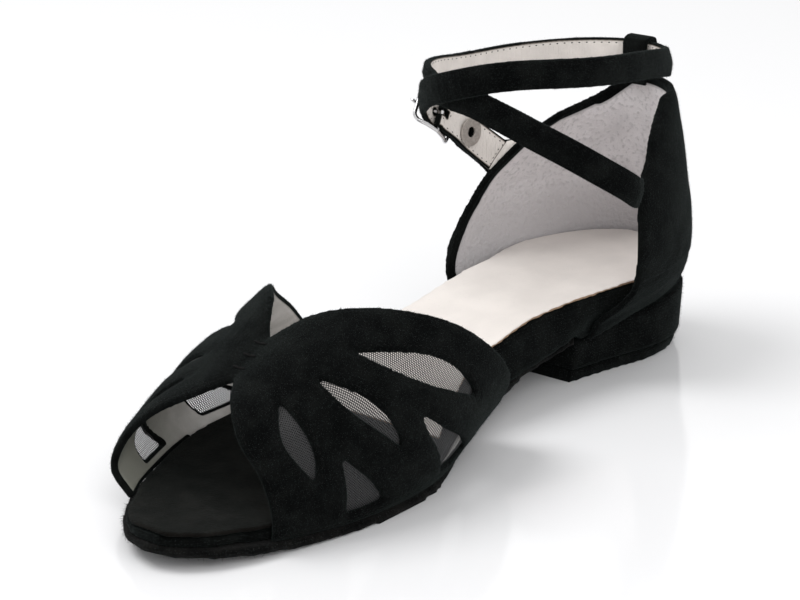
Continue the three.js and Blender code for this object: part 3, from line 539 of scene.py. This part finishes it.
def store(mesh, name, values):
    layer = mesh.attributes.new(name, "FLOAT", "POINT")
    layer.data.foreach_set("value", np.asarray(values, np.float32))


def smoothed(points, pairs, rounds, force=0.5, back=-0.52):
    """Evens out a dense mesh. A negative back keeps it from thinning."""
    count = np.bincount(pairs.ravel(), minlength=len(points))[:, None]
    for turn in range(2 * rounds):
        total = np.zeros_like(points)
        np.add.at(total, pairs[:, 0], points[pairs[:, 1]])
        np.add.at(total, pairs[:, 1], points[pairs[:, 0]])
        points = points + (force if turn % 2 == 0 else back) * (total / count - points)
    return points


def dense(node, material):
    """A fine mesh of a CAD node that stands in its place, its hard edges rounded."""
    voxel_mm, rounds, soften = SKINS[node]
    piece = link(node + "_skin", welded_mesh(node), material)
    remesh = piece.modifiers.new("fine", "REMESH")
    remesh.mode = "VOXEL"
    remesh.voxel_size = voxel_mm * MM
    graph = bpy.context.evaluated_depsgraph_get()
    fine = bpy.data.meshes.new_from_object(piece.evaluated_get(graph))
    piece.modifiers.clear()
    piece.data = fine
    points = places(fine)
    pairs = np.empty(len(fine.edges) * 2, np.int32)
    fine.edges.foreach_get("vertices", pairs)
    pairs = pairs.reshape(-1, 2)
    points = smoothed(points, pairs, rounds)
    points = smoothed(points, pairs, soften, back=0.0)
    fine.vertices.foreach_set("co", points.ravel())
    fine.update()
    fine.shade_smooth()
    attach(piece, BODY)
    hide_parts(node)
    return piece


def from_axis(point, normal):
    """How far a face of the vamp looks away from the foot: 1 fully out, -1 fully in."""
    away = Vector((0, point.y - VAMP_AXIS["side"] * MM, point.z - VAMP_AXIS["height"] * MM))
    return normal.dot(away.normalized())


def from_middle(middle):
    """A test like from_axis, for a cup or strap that goes round an upright line."""
    def facing(point, normal):
        away = Vector((point.x - middle[0] * MM, point.y - middle[1] * MM, 0))
        return normal.dot(away.normalized())
    return facing


def edge_loops(node, facing):
    """The cut edges of the faces that look outward, or inward with a minus sign in
    facing, as loops of (point, normal, direction into the face)."""
    mesh, whole = welded(node)
    found = {}
    for edge in whole.edges:
        if len(edge.link_faces) != 2 or edge.calc_face_angle(0) < SHARP:
            continue
        looks = [facing(face.calc_center_median(), face.normal) for face in edge.link_faces]
        if max(looks) < OUTWARD or abs(looks[0] - looks[1]) < TURNED:
            continue
        face = edge.link_faces[0 if looks[0] > looks[1] else 1]
        for vert in edge.verts:
            found.setdefault(vert, []).append((edge, face))
    loops = []
    used = set()
    for start in sorted(found, key=lambda v: (len(found[v]) != 1, v.index)):
        line = []
        vert = start
        while True:
            onward = [(edge, face) for edge, face in found.get(vert, []) if edge not in used]
            if not onward:
                break
            edge, face = onward[0]
            used.add(edge)
            after = edge.other_vert(vert)
            along = (after.co - vert.co).normalized()
            middle = (vert.co + after.co) / 2
            into = face.calc_center_median() - middle
            into = (into - along * into.dot(along)).normalized()
            line.append((middle.copy(), face.normal.copy(), into))
            vert = after
        if len(line) > 3:
            loops.append((line, (vert.co - start.co).length < LOOP_GAP_MM * MM))
    whole.free()
    bpy.data.meshes.remove(mesh)
    return loops


def evenly(line, closed, pitch_mm):
    """Points at an even pitch along a loop, with their normals and inward directions."""
    rows = [np.array([*p, *n, *m]) for p, n, m in line]
    rows = rows + [rows[0]] if closed else rows
    rows = np.array(rows)
    steps = np.linalg.norm(np.diff(rows[:, :3], axis=0), axis=1)
    length = np.concatenate([[0], np.cumsum(steps)])
    count = max(int(length[-1] / (pitch_mm * MM)), 3)
    at = np.arange(count) * length[-1] / count
    even = np.stack([np.interp(at, length, rows[:, k]) for k in range(9)], 1)
    for k in (3, 6):
        even[:, k:k + 3] /= np.linalg.norm(even[:, k:k + 3], axis=1)[:, None]
    return even


def mark_edges(piece, node, facing, spare=None, least=OUTWARD, differing=TURNED):
    """Gives each point of a skin its distance from the cut edges and the way it looks."""
    mesh, whole = welded(node)
    samples = []
    lines = []
    for edge in whole.edges:
        if len(edge.link_faces) == 2 and edge.calc_face_angle(0) > SHARP:
            looks = [facing(f.calc_center_median(), f.normal) for f in edge.link_faces]
            if abs(looks[0] - looks[1]) > differing and max(abs(look) for look in looks) > least:
                lines.append(edge)
    for edge in lines:
        a, b = (v.co for v in edge.verts)
        count = max(int((b - a).length / (EDGE_STEP_MM * MM)), 1)
        samples += [a.lerp(b, k / count) for k in range(count + 1)]
    tree = KDTree(len(samples))
    for i, p in enumerate(samples):
        tree.insert(p, i)
    tree.balance()
    whole.free()
    bpy.data.meshes.remove(mesh)
    points = places(piece.data)
    looks = normals(piece.data)
    edge = np.array([tree.find(Vector(p))[2] for p in points]) / MM
    inner = np.array([-facing(Vector(p), Vector(n)) for p, n in zip(points, looks)])
    if spare is not None:
        inner = np.where(spare(points), 0.0, inner)
    store(piece.data, "edge", edge)
    store(piece.data, "inner", inner)
    return edge, inner


def press(piece, moves_mm):
    """Moves each point of a skin along its normal."""
    points = places(piece.data) + normals(piece.data) * (np.asarray(moves_mm) * MM)[:, None]
    piece.data.vertices.foreach_set("co", points.ravel())
    piece.data.update()


def trough(piece, path_mm, width_mm, depth_mm):
    """Depth of a soft crease along a line of points, at each point of a skin."""
    path = np.array(path_mm) * MM
    line = np.concatenate([np.linspace(a, b, 12) for a, b in zip(path[:-1], path[1:])])
    points = places(piece.data)
    gap = np.min(np.linalg.norm(points[:, None, :] - line[None, :, :], axis=2), axis=1)
    return -depth_mm * np.exp(-(gap / (width_mm * MM)) ** 2)


def creased(piece, creases):
    return sum(trough(piece, path, width, depth) for path, width, depth in creases)


def pillow(edge, rise_mm, reach_mm):
    """How far padding lifts a face: nothing at its cut edge, rise_mm well away from it."""
    return rise_mm * (1 - np.exp(-(edge / reach_mm) ** 2))


def tree_of(piece):
    return BVHTree.FromPolygons(
        [v.co for v in piece.data.vertices],
        [p.vertices for p in piece.data.polygons],
    )


def grain_shape(rings=3, sides=6):
    """A rice grain of unit length, width and height, as points and faces."""
    points = [(-0.5, 0, 0)]
    for k in range(rings):
        x = (k + 1) / (rings + 1) - 0.5
        radius = 0.5 * math.sqrt(max(1 - (2 * x) ** 2, 0.05))
        points += [(x, radius * math.cos(t), radius * math.sin(t))
                   for t in (2 * math.pi * i / sides for i in range(sides))]
    points.append((0.5, 0, 0))
    faces = [(0, 1 + (i + 1) % sides, 1 + i) for i in range(sides)]
    for k in range(rings - 1):
        a, b = 1 + k * sides, 1 + (k + 1) * sides
        faces += [(a + i, a + (i + 1) % sides, b + (i + 1) % sides, b + i) for i in range(sides)]
    last = 1 + (rings - 1) * sides
    faces += [(last + i, last + (i + 1) % sides, len(points) - 1) for i in range(sides)]
    return np.array(points), faces


def many(name, frames, size_mm, material):
    """One mesh of many stitches, each at a (place, along, out) frame."""
    points, faces = grain_shape()
    scaled = points * np.array(size_mm) * MM
    verts = []
    polygons = []
    for k, (place, along, out) in enumerate(frames):
        across = np.cross(out, along)
        turn = np.stack([along, across, out], 1)
        verts.append(scaled @ turn.T + place)
        polygons += [[i + k * len(points) for i in face] for face in faces]
    mesh = bpy.data.meshes.new(name)
    mesh.from_pydata(np.concatenate(verts).tolist(), [], polygons)
    piece = link(name, mesh, material)
    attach(piece, BODY)
    return piece


def seam_frames(piece, loops, inset_mm, pitch_mm, sink_mm=LINING_SEAM_MM, keep=None):
    """Frames of the stitches along loops, set on the skin at a distance from the edge."""
    tree = tree_of(piece)
    frames = []
    for line, closed in loops:
        even = evenly(line, closed, pitch_mm)
        spots = even[:, :3] + even[:, 6:] * inset_mm * MM
        for i, spot in enumerate(spots):
            found, normal, _, gap = tree.find_nearest(Vector(spot))
            ahead = spots[(i + 1) % len(spots)] - spots[i - 1]
            if gap > SEAM_REACH_MM * MM or np.dot(normal, even[i, 3:6]) < SEAM_FACING:
                continue
            if keep is not None and not keep(found):
                continue
            out = np.array(normal)
            along = ahead - out * np.dot(ahead, out)
            along /= max(np.linalg.norm(along), 1e-9)
            frames.append((np.array(found) - out * sink_mm * MM, along, out))
    return frames


def minus(facing):
    return lambda point, normal: -facing(point, normal)


# Pieces of the upper

def make_vamp():
    cloth = suede("vamp_suede", vamp_lining, VAMP_FOLD_MM, 0.3)
    vamp = dense("vamp", cloth)
    edge, inner = mark_edges(vamp, "vamp", from_axis, **VAMP_EDGES)
    outward = np.clip(-inner * 2, 0, 1)
    press(vamp, (pillow(edge, *VAMP_PAD_MM) + creased(vamp, VAMP_CREASES)) * outward)
    loops = edge_loops("vamp", from_axis)
    stitches = seam_frames(vamp, loops, TOPSTITCH_MM, VAMP_STITCH["pitch"], DEEP_SEAM_MM)
    thread_black = thread("black_thread")
    many("vamp_topstitch", stitches, VAMP_STITCH["size"], thread_black)
    make_net(loops_inside=edge_loops("vamp", minus(from_axis)))
    make_knot(vamp, thread_black)
    return vamp


def make_net(loops_inside):
    """A patch of net behind each cut-out, its rim held inside the wall."""
    cloth = net_cloth()
    patches = bmesh.new()
    spans = [max((p - line[0][0]).length for p, _, _ in line) for line, _ in loops_inside]
    for (line, closed), span in zip(loops_inside, spans):
        if not closed or span > NET_SPAN_MM * MM:
            continue
        rim = evenly(line, closed, NET_STEP_MM)
        held = rim[:, :3] + (rim[:, 6:] * NET_RIM_MM - rim[:, 3:6] * NET_DEPTH_MM) * MM
        verts = [patches.verts.new(spot) for spot in held]
        edges = [patches.edges.new((verts[i - 1], verts[i])) for i in range(len(verts))]
        bmesh.ops.triangle_fill(patches, use_beauty=True, edges=edges)
    for _ in range(2):
        bmesh.ops.subdivide_edges(patches, edges=patches.edges, cuts=1, use_grid_fill=True)
    inside = [v for v in patches.verts if not v.is_boundary]
    axes = {"use_axis_x": True, "use_axis_y": True, "use_axis_z": True}
    for _ in range(NET_ROUNDS):
        bmesh.ops.smooth_vert(patches, verts=inside, factor=0.6, **axes)
    mesh = bpy.data.meshes.new("vamp_net")
    bmesh.ops.triangulate(patches, faces=patches.faces)
    patches.to_mesh(mesh)
    patches.free()
    net = link("vamp_net", mesh, cloth)
    points = places(mesh) / MM
    turn = np.arctan2(points[:, 2] - VAMP_AXIS["height"], np.abs(points[:, 1]))
    store(mesh, "net_left", (points[:, 0] + turn * NET_RADIUS_MM) / NET_PITCH_MM)
    store(mesh, "net_right", (points[:, 0] - turn * NET_RADIUS_MM) / NET_PITCH_MM)
    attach(net, BODY)


def make_knot(vamp, material):
    """Three short bars of thread across the seam between the wings."""
    tree = tree_of(vamp)
    frames = []
    for share in KNOT_SHARES:
        middle = Vector(KNOT_REAR).lerp(Vector(KNOT_FRONT), share) * MM
        for side in (-1, 1):
            spot = middle + Vector((0, side * KNOT_REACH_MM * MM, 0))
            found, normal, _, _ = tree.find_nearest(spot)
            out = np.array(normal)
            along = np.array((0.1, 1.0, 0.0))
            along -= out * np.dot(along, out)
            along /= np.linalg.norm(along)
            frames.append((np.array(found) + out * DEEP_SEAM_MM * MM, along, out))
    many("knot_stitches", frames, KNOT_STITCH_MM, material)


def make_counter():
    facing = from_middle(CUP_MIDDLE)
    cloth = suede("counter_suede", brushed_lining, RIM_FOLD_MM, 0.25)
    counter = dense("counter", cloth)
    edge, inner = mark_edges(counter, "counter", facing)
    step_in = RIM_STEP_MM / (1 + np.exp((edge - RIM_FOLD_MM) / RIM_SLOPE_MM))
    high = places(counter.data)[:, 2] > CUP_FLOOR_MM * MM
    outside = pillow(edge, *COUNTER_PAD_MM) + creased(counter, COUNTER_CREASES)
    press(counter, np.where(high, np.where(inner > 0, step_in, outside), 0))
    loops = edge_loops("counter", facing)
    stitches = seam_frames(counter, loops, COUNTER_STITCH_MM, COUNTER_STITCH["pitch"],
                           DEEP_SEAM_MM, keep=lambda p: p.z > CUP_SEAM_FLOOR_MM * MM)
    many("counter_topstitch", stitches, COUNTER_STITCH["size"], thread("counter_thread"))
    return counter


def make_strap():
    facing = from_middle(ANKLE_MIDDLE)
    cloth = suede("strap_suede", strap_lining, STRAP_FOLD_MM, 0.5, STRAP_STITCH_MM)
    strap = dense("ankle_strap", cloth)
    edge, inner = mark_edges(strap, "ankle_strap", facing)
    press(strap, pillow(edge, *STRAP_PAD_MM) * np.clip(-inner * 2, 0, 1))
    fine_thread = thread("strap_thread")
    outer_loops = edge_loops("ankle_strap", facing)
    inner_loops = edge_loops("ankle_strap", minus(facing))
    outside = seam_frames(strap, outer_loops, STRAP_STITCH_MM, STRAP_STITCH["pitch"], STRAP_SEAM_MM)
    inside = seam_frames(strap, inner_loops, STRAP_STITCH_MM, LINING_STITCH["pitch"])
    many("strap_stitches_out", outside, STRAP_STITCH["size"], fine_thread)
    many("strap_stitches_in", inside, LINING_STITCH["size"], fine_thread)
    return strap


def tab_bar():
    """The middle of the buckle's frame."""
    points = places(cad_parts["buckle_frame"].data)
    return (points.max(0) + points.min(0)) / 2


def make_tab():
    facing = from_middle(ANKLE_MIDDLE)
    bar = tab_bar()
    cloth = suede("tab_suede", strap_lining, STRAP_FOLD_MM, 0.5, STRAP_STITCH_MM)
    tab = dense("buckle_tab", cloth)
    mark_edges(tab, "buckle_tab", facing,
               lambda p: np.linalg.norm(p - bar, axis=1) < SLEEVE_MM * MM)
    loops = edge_loops("buckle_tab", minus(facing))
    stitches = seam_frames(tab, loops, STRAP_STITCH_MM, LINING_STITCH["pitch"])
    many("tab_stitches", stitches, LINING_STITCH["size"], thread("tab_thread"))
    return tab


def tail_corners(bar):
    """The corners of the tab's cut end, in turn round it from the low inner one."""
    points = places(welded_mesh("buckle_tab"))
    tail = points[np.argsort(np.linalg.norm(points - bar, axis=1))[-8:]].mean(0)
    reach = (points - bar) @ ((tail - bar) / np.linalg.norm(tail - bar))
    ends = points[np.argsort(reach)[-4:]]
    ends = ends[np.argsort(ends[:, 2])]
    inner_first = [sorted(pair, key=lambda p: np.linalg.norm(p[:2] / MM - ANKLE_MIDDLE))
                   for pair in (ends[:2], ends[2:])]
    low_in, low_out, high_in, high_out = (p for pair in inner_first for p in pair)
    return [low_in, low_out, high_out, high_in]


def wedge_mesh(name, corners):
    """A closed block between two rings of four corners, in fine faces."""
    wedge = bmesh.new()
    verts = [wedge.verts.new(p) for p in corners]
    sides = [(i, (i + 1) % 4, 4 + (i + 1) % 4, 4 + i) for i in range(4)]
    for face in [(0, 3, 2, 1), (4, 5, 6, 7), *sides]:
        wedge.faces.new([verts[i] for i in face])
    bmesh.ops.recalc_face_normals(wedge, faces=wedge.faces)
    bmesh.ops.subdivide_edges(wedge, edges=wedge.edges, cuts=ROOT_CUTS, use_grid_fill=True)
    mesh = bpy.data.meshes.new(name)
    wedge.to_mesh(mesh)
    wedge.free()
    return mesh


def make_tab_root(tab, counter):
    """The tab's tail where it is sewn to the cup: a wedge from its cut end to the rim."""
    bar = tab_bar()
    ring = tail_corners(bar)
    tree = tree_of(counter)
    feet = []
    for corner in ring:
        found, normal, _, _ = tree.find_nearest(Vector(corner))
        feet.append(np.array(found) - np.array(normal) * ROOT_SINK_MM * MM)
    feet[2] = feet[2] + (feet[2] - feet[1]) * ROOT_SPREAD
    feet[3] = feet[3] + (feet[3] - feet[0]) * ROOT_SPREAD
    inward = [(bar - corner) / np.linalg.norm(bar - corner) for corner in ring]
    heads = [corner + way * ROOT_SINK_MM * MM for corner, way in zip(ring, inward)]
    mesh = wedge_mesh("tab_root", heads + feet)
    root = link("tab_root", mesh, tab.data.materials[0])
    facing = from_middle(ANKLE_MIDDLE)
    store(mesh, "edge", np.full(len(mesh.vertices), 2 * STRAP_STITCH_MM))
    looks = zip(places(mesh), normals(mesh))
    store(mesh, "inner", [-facing(Vector(p), Vector(n)) for p, n in looks])
    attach(root, BODY)
    return root


def make_loop():
    loop = dense("heel_loop", suede("loop_suede"))
    mark_edges(loop, "heel_loop", from_middle(CUP_MIDDLE))
    return loop


# Pieces of the sole

def plain_suede(node, material):
    """A skin of unlined suede with no seam."""
    piece = dense(node, material)
    store(piece.data, "edge", np.zeros(len(piece.data.vertices)))
    return piece


def make_sole():
    black = suede("wrap_suede", stitched_mm=NO_SEAM_MM)
    wrapped = {node: plain_suede(node, black) for node in ("insole", "heel_block", "heel_lift")}
    outsole = dense("outsole", outsole_suede())
    toe_suede = suede("toe_sock_suede", stitched_mm=NO_SEAM_MM, deep=TOE_SOCK_DEEP, nap=TOE_SOCK_NAP)
    plain_suede("sock_toe", toe_suede)
    sock = dense("sock_heel", sock_leather())
    store(sock.data, "flank", 1 - np.clip(normals(sock.data)[:, 2], 0, 1))
    return outsole, wrapped


# Metal

def make_metal():
    silver = wire_metal()
    for node in ("buckle_frame", "buckle_prong"):
        dense(node, silver)
    dense("rivet", washer_metal())


# Nap fibres

def fuzz(name, piece, rng, nap, material, keep):
    """Short fibres that stand on a skin where keep says so, and none below the floor."""
    count, length_mm, width_mm = nap
    mesh = piece.data
    points = places(mesh)
    looks = normals(mesh)
    allowed = np.flatnonzero(keep(points, looks))
    chosen = rng.choice(allowed, min(count, len(allowed)), replace=False)
    tilt = rng.normal(0, LEAN, (len(chosen), 3))
    needle = np.array([(0, -0.5, -0.3), (0, 0.5, -0.3), (0, 0, 0.5), (1, 0, 0)])
    faces = [(0, 2, 1), (0, 1, 3), (1, 2, 3), (2, 0, 3)]
    verts = []
    polygons = []
    for k, (i, lean) in enumerate(zip(chosen, tilt)):
        along = looks[i] + lean
        along /= np.linalg.norm(along)
        side = np.cross(along, (0.3, 0.5, 0.8))
        side /= np.linalg.norm(side)
        size = np.array([length_mm * rng.uniform(*NAP_LENGTHS), width_mm, width_mm]) * MM
        turn = np.stack([along, side, np.cross(along, side)], 1)
        fibre = (needle * size) @ turn.T + points[i] - looks[i] * NAP_ROOT_MM * MM
        fibre[:, 2] = np.maximum(fibre[:, 2], 0)
        verts.append(fibre)
        polygons += [[j + 4 * k for j in face] for face in faces]
    made = bpy.data.meshes.new(name)
    made.from_pydata(np.concatenate(verts).tolist(), [], polygons)
    fibres = link(name, made, material)
    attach(fibres, BODY)


def outward_of(piece):
    """Picks the points of a skin that are suede and not lining."""
    inner = np.empty(len(piece.data.vertices), np.float32)
    piece.data.attributes["inner"].data.foreach_get("value", inner)
    return lambda points, looks: inner < SUEDE_SIDE


def sole_edge(points, looks):
    """Picks the outsole's cut edge forward of the waist, clear of the floor."""
    from_x, from_z = SOLE_NAP_FROM_MM
    flank = np.abs(looks[:, 2]) < SOLE_UPRIGHT
    return flank & (points[:, 0] > from_x * MM) & (points[:, 2] > from_z * MM)


def wrapped_side(points, looks):
    """Picks the upright sides of a wrapped piece, clear of the floor."""
    return (np.abs(looks[:, 2]) < WRAP_UPRIGHT) & (points[:, 2] > WRAP_NAP_FROM_MM * MM)


def fibre_cloth():
    material, tree, shader, place = fresh("nap_fibres")
    tone = mix(tree, noise(tree, place, *GRAIN["fibre_tone"]), SUEDE_DEEP, FIBRE_TIP)
    feed(tree, shader, Base_Color=tone, Roughness=0.9, Sheen_Weight=0.08, Specular_IOR_Level=0.1)
    return material


# Studio

def make_camera():
    camera = bpy.data.objects.new("camera", bpy.data.cameras.new("camera"))
    bpy.context.scene.collection.objects.link(camera)
    camera.data.sensor_width = SENSOR_MM
    camera.data.lens = LENS_MM
    ahead = FORWARD.normalized()
    level = ahead.cross(Vector((0, 0, 1))).normalized()
    upright = level.cross(ahead)
    right = level * math.cos(ROLL) + upright * math.sin(ROLL)
    turn = Matrix((right, right.cross(ahead), -ahead)).transposed()
    camera.matrix_world = Matrix.Translation(EYE) @ turn.to_4x4()
    bpy.context.scene.camera = camera


def make_light(name, place, size, power):
    lamp = bpy.data.lights.new(name, "AREA")
    lamp.shape = "DISK"
    lamp.size = size
    lamp.energy = power
    light = bpy.data.objects.new(name, lamp)
    light.location = place
    light.rotation_euler = (Vector(AIM) - Vector(place)).to_track_quat("-Z", "Y").to_euler()
    bpy.context.scene.collection.objects.link(light)


def make_studio():
    mesh = bpy.data.meshes.new("floor")
    signs = [(-1, -1), (1, -1), (1, 1), (-1, 1)]
    corners = [(x * FLOOR_REACH, y * FLOOR_REACH, 0) for x, y in signs]
    mesh.from_pydata(corners, [], [(0, 1, 2, 3)])
    link("floor", mesh, floor_paint())
    world = bpy.data.worlds.new("studio")
    world.use_nodes = True
    sky = world.node_tree.nodes["Background"]
    sky.inputs["Color"].default_value = (1, 1, 1, 1)
    sky.inputs["Strength"].default_value = SKY
    bpy.context.scene.world = world
    bpy.context.scene.view_settings.view_transform = "Standard"
    for name, lamp in LAMPS.items():
        make_light(name, *lamp)


make_camera()
make_studio()
rng = np.random.default_rng(SEED)
vamp = make_vamp()
counter = make_counter()
strap = make_strap()
tab = make_tab()
tab_root = make_tab_root(tab, counter)
loop = make_loop()
outsole, wrapped = make_sole()
make_metal()
fibres = fibre_cloth()
for name, piece in {"vamp": vamp, "counter": counter, "strap": strap}.items():
    fuzz(name + "_nap", piece, rng, NAP[name], fibres, outward_of(piece))
fuzz("sole_nap", outsole, rng, NAP["sole"], fibres, sole_edge)
for name, piece in wrapped.items():
    fuzz(piece.name + "_nap", piece, rng, NAP[name], fibres, wrapped_side)
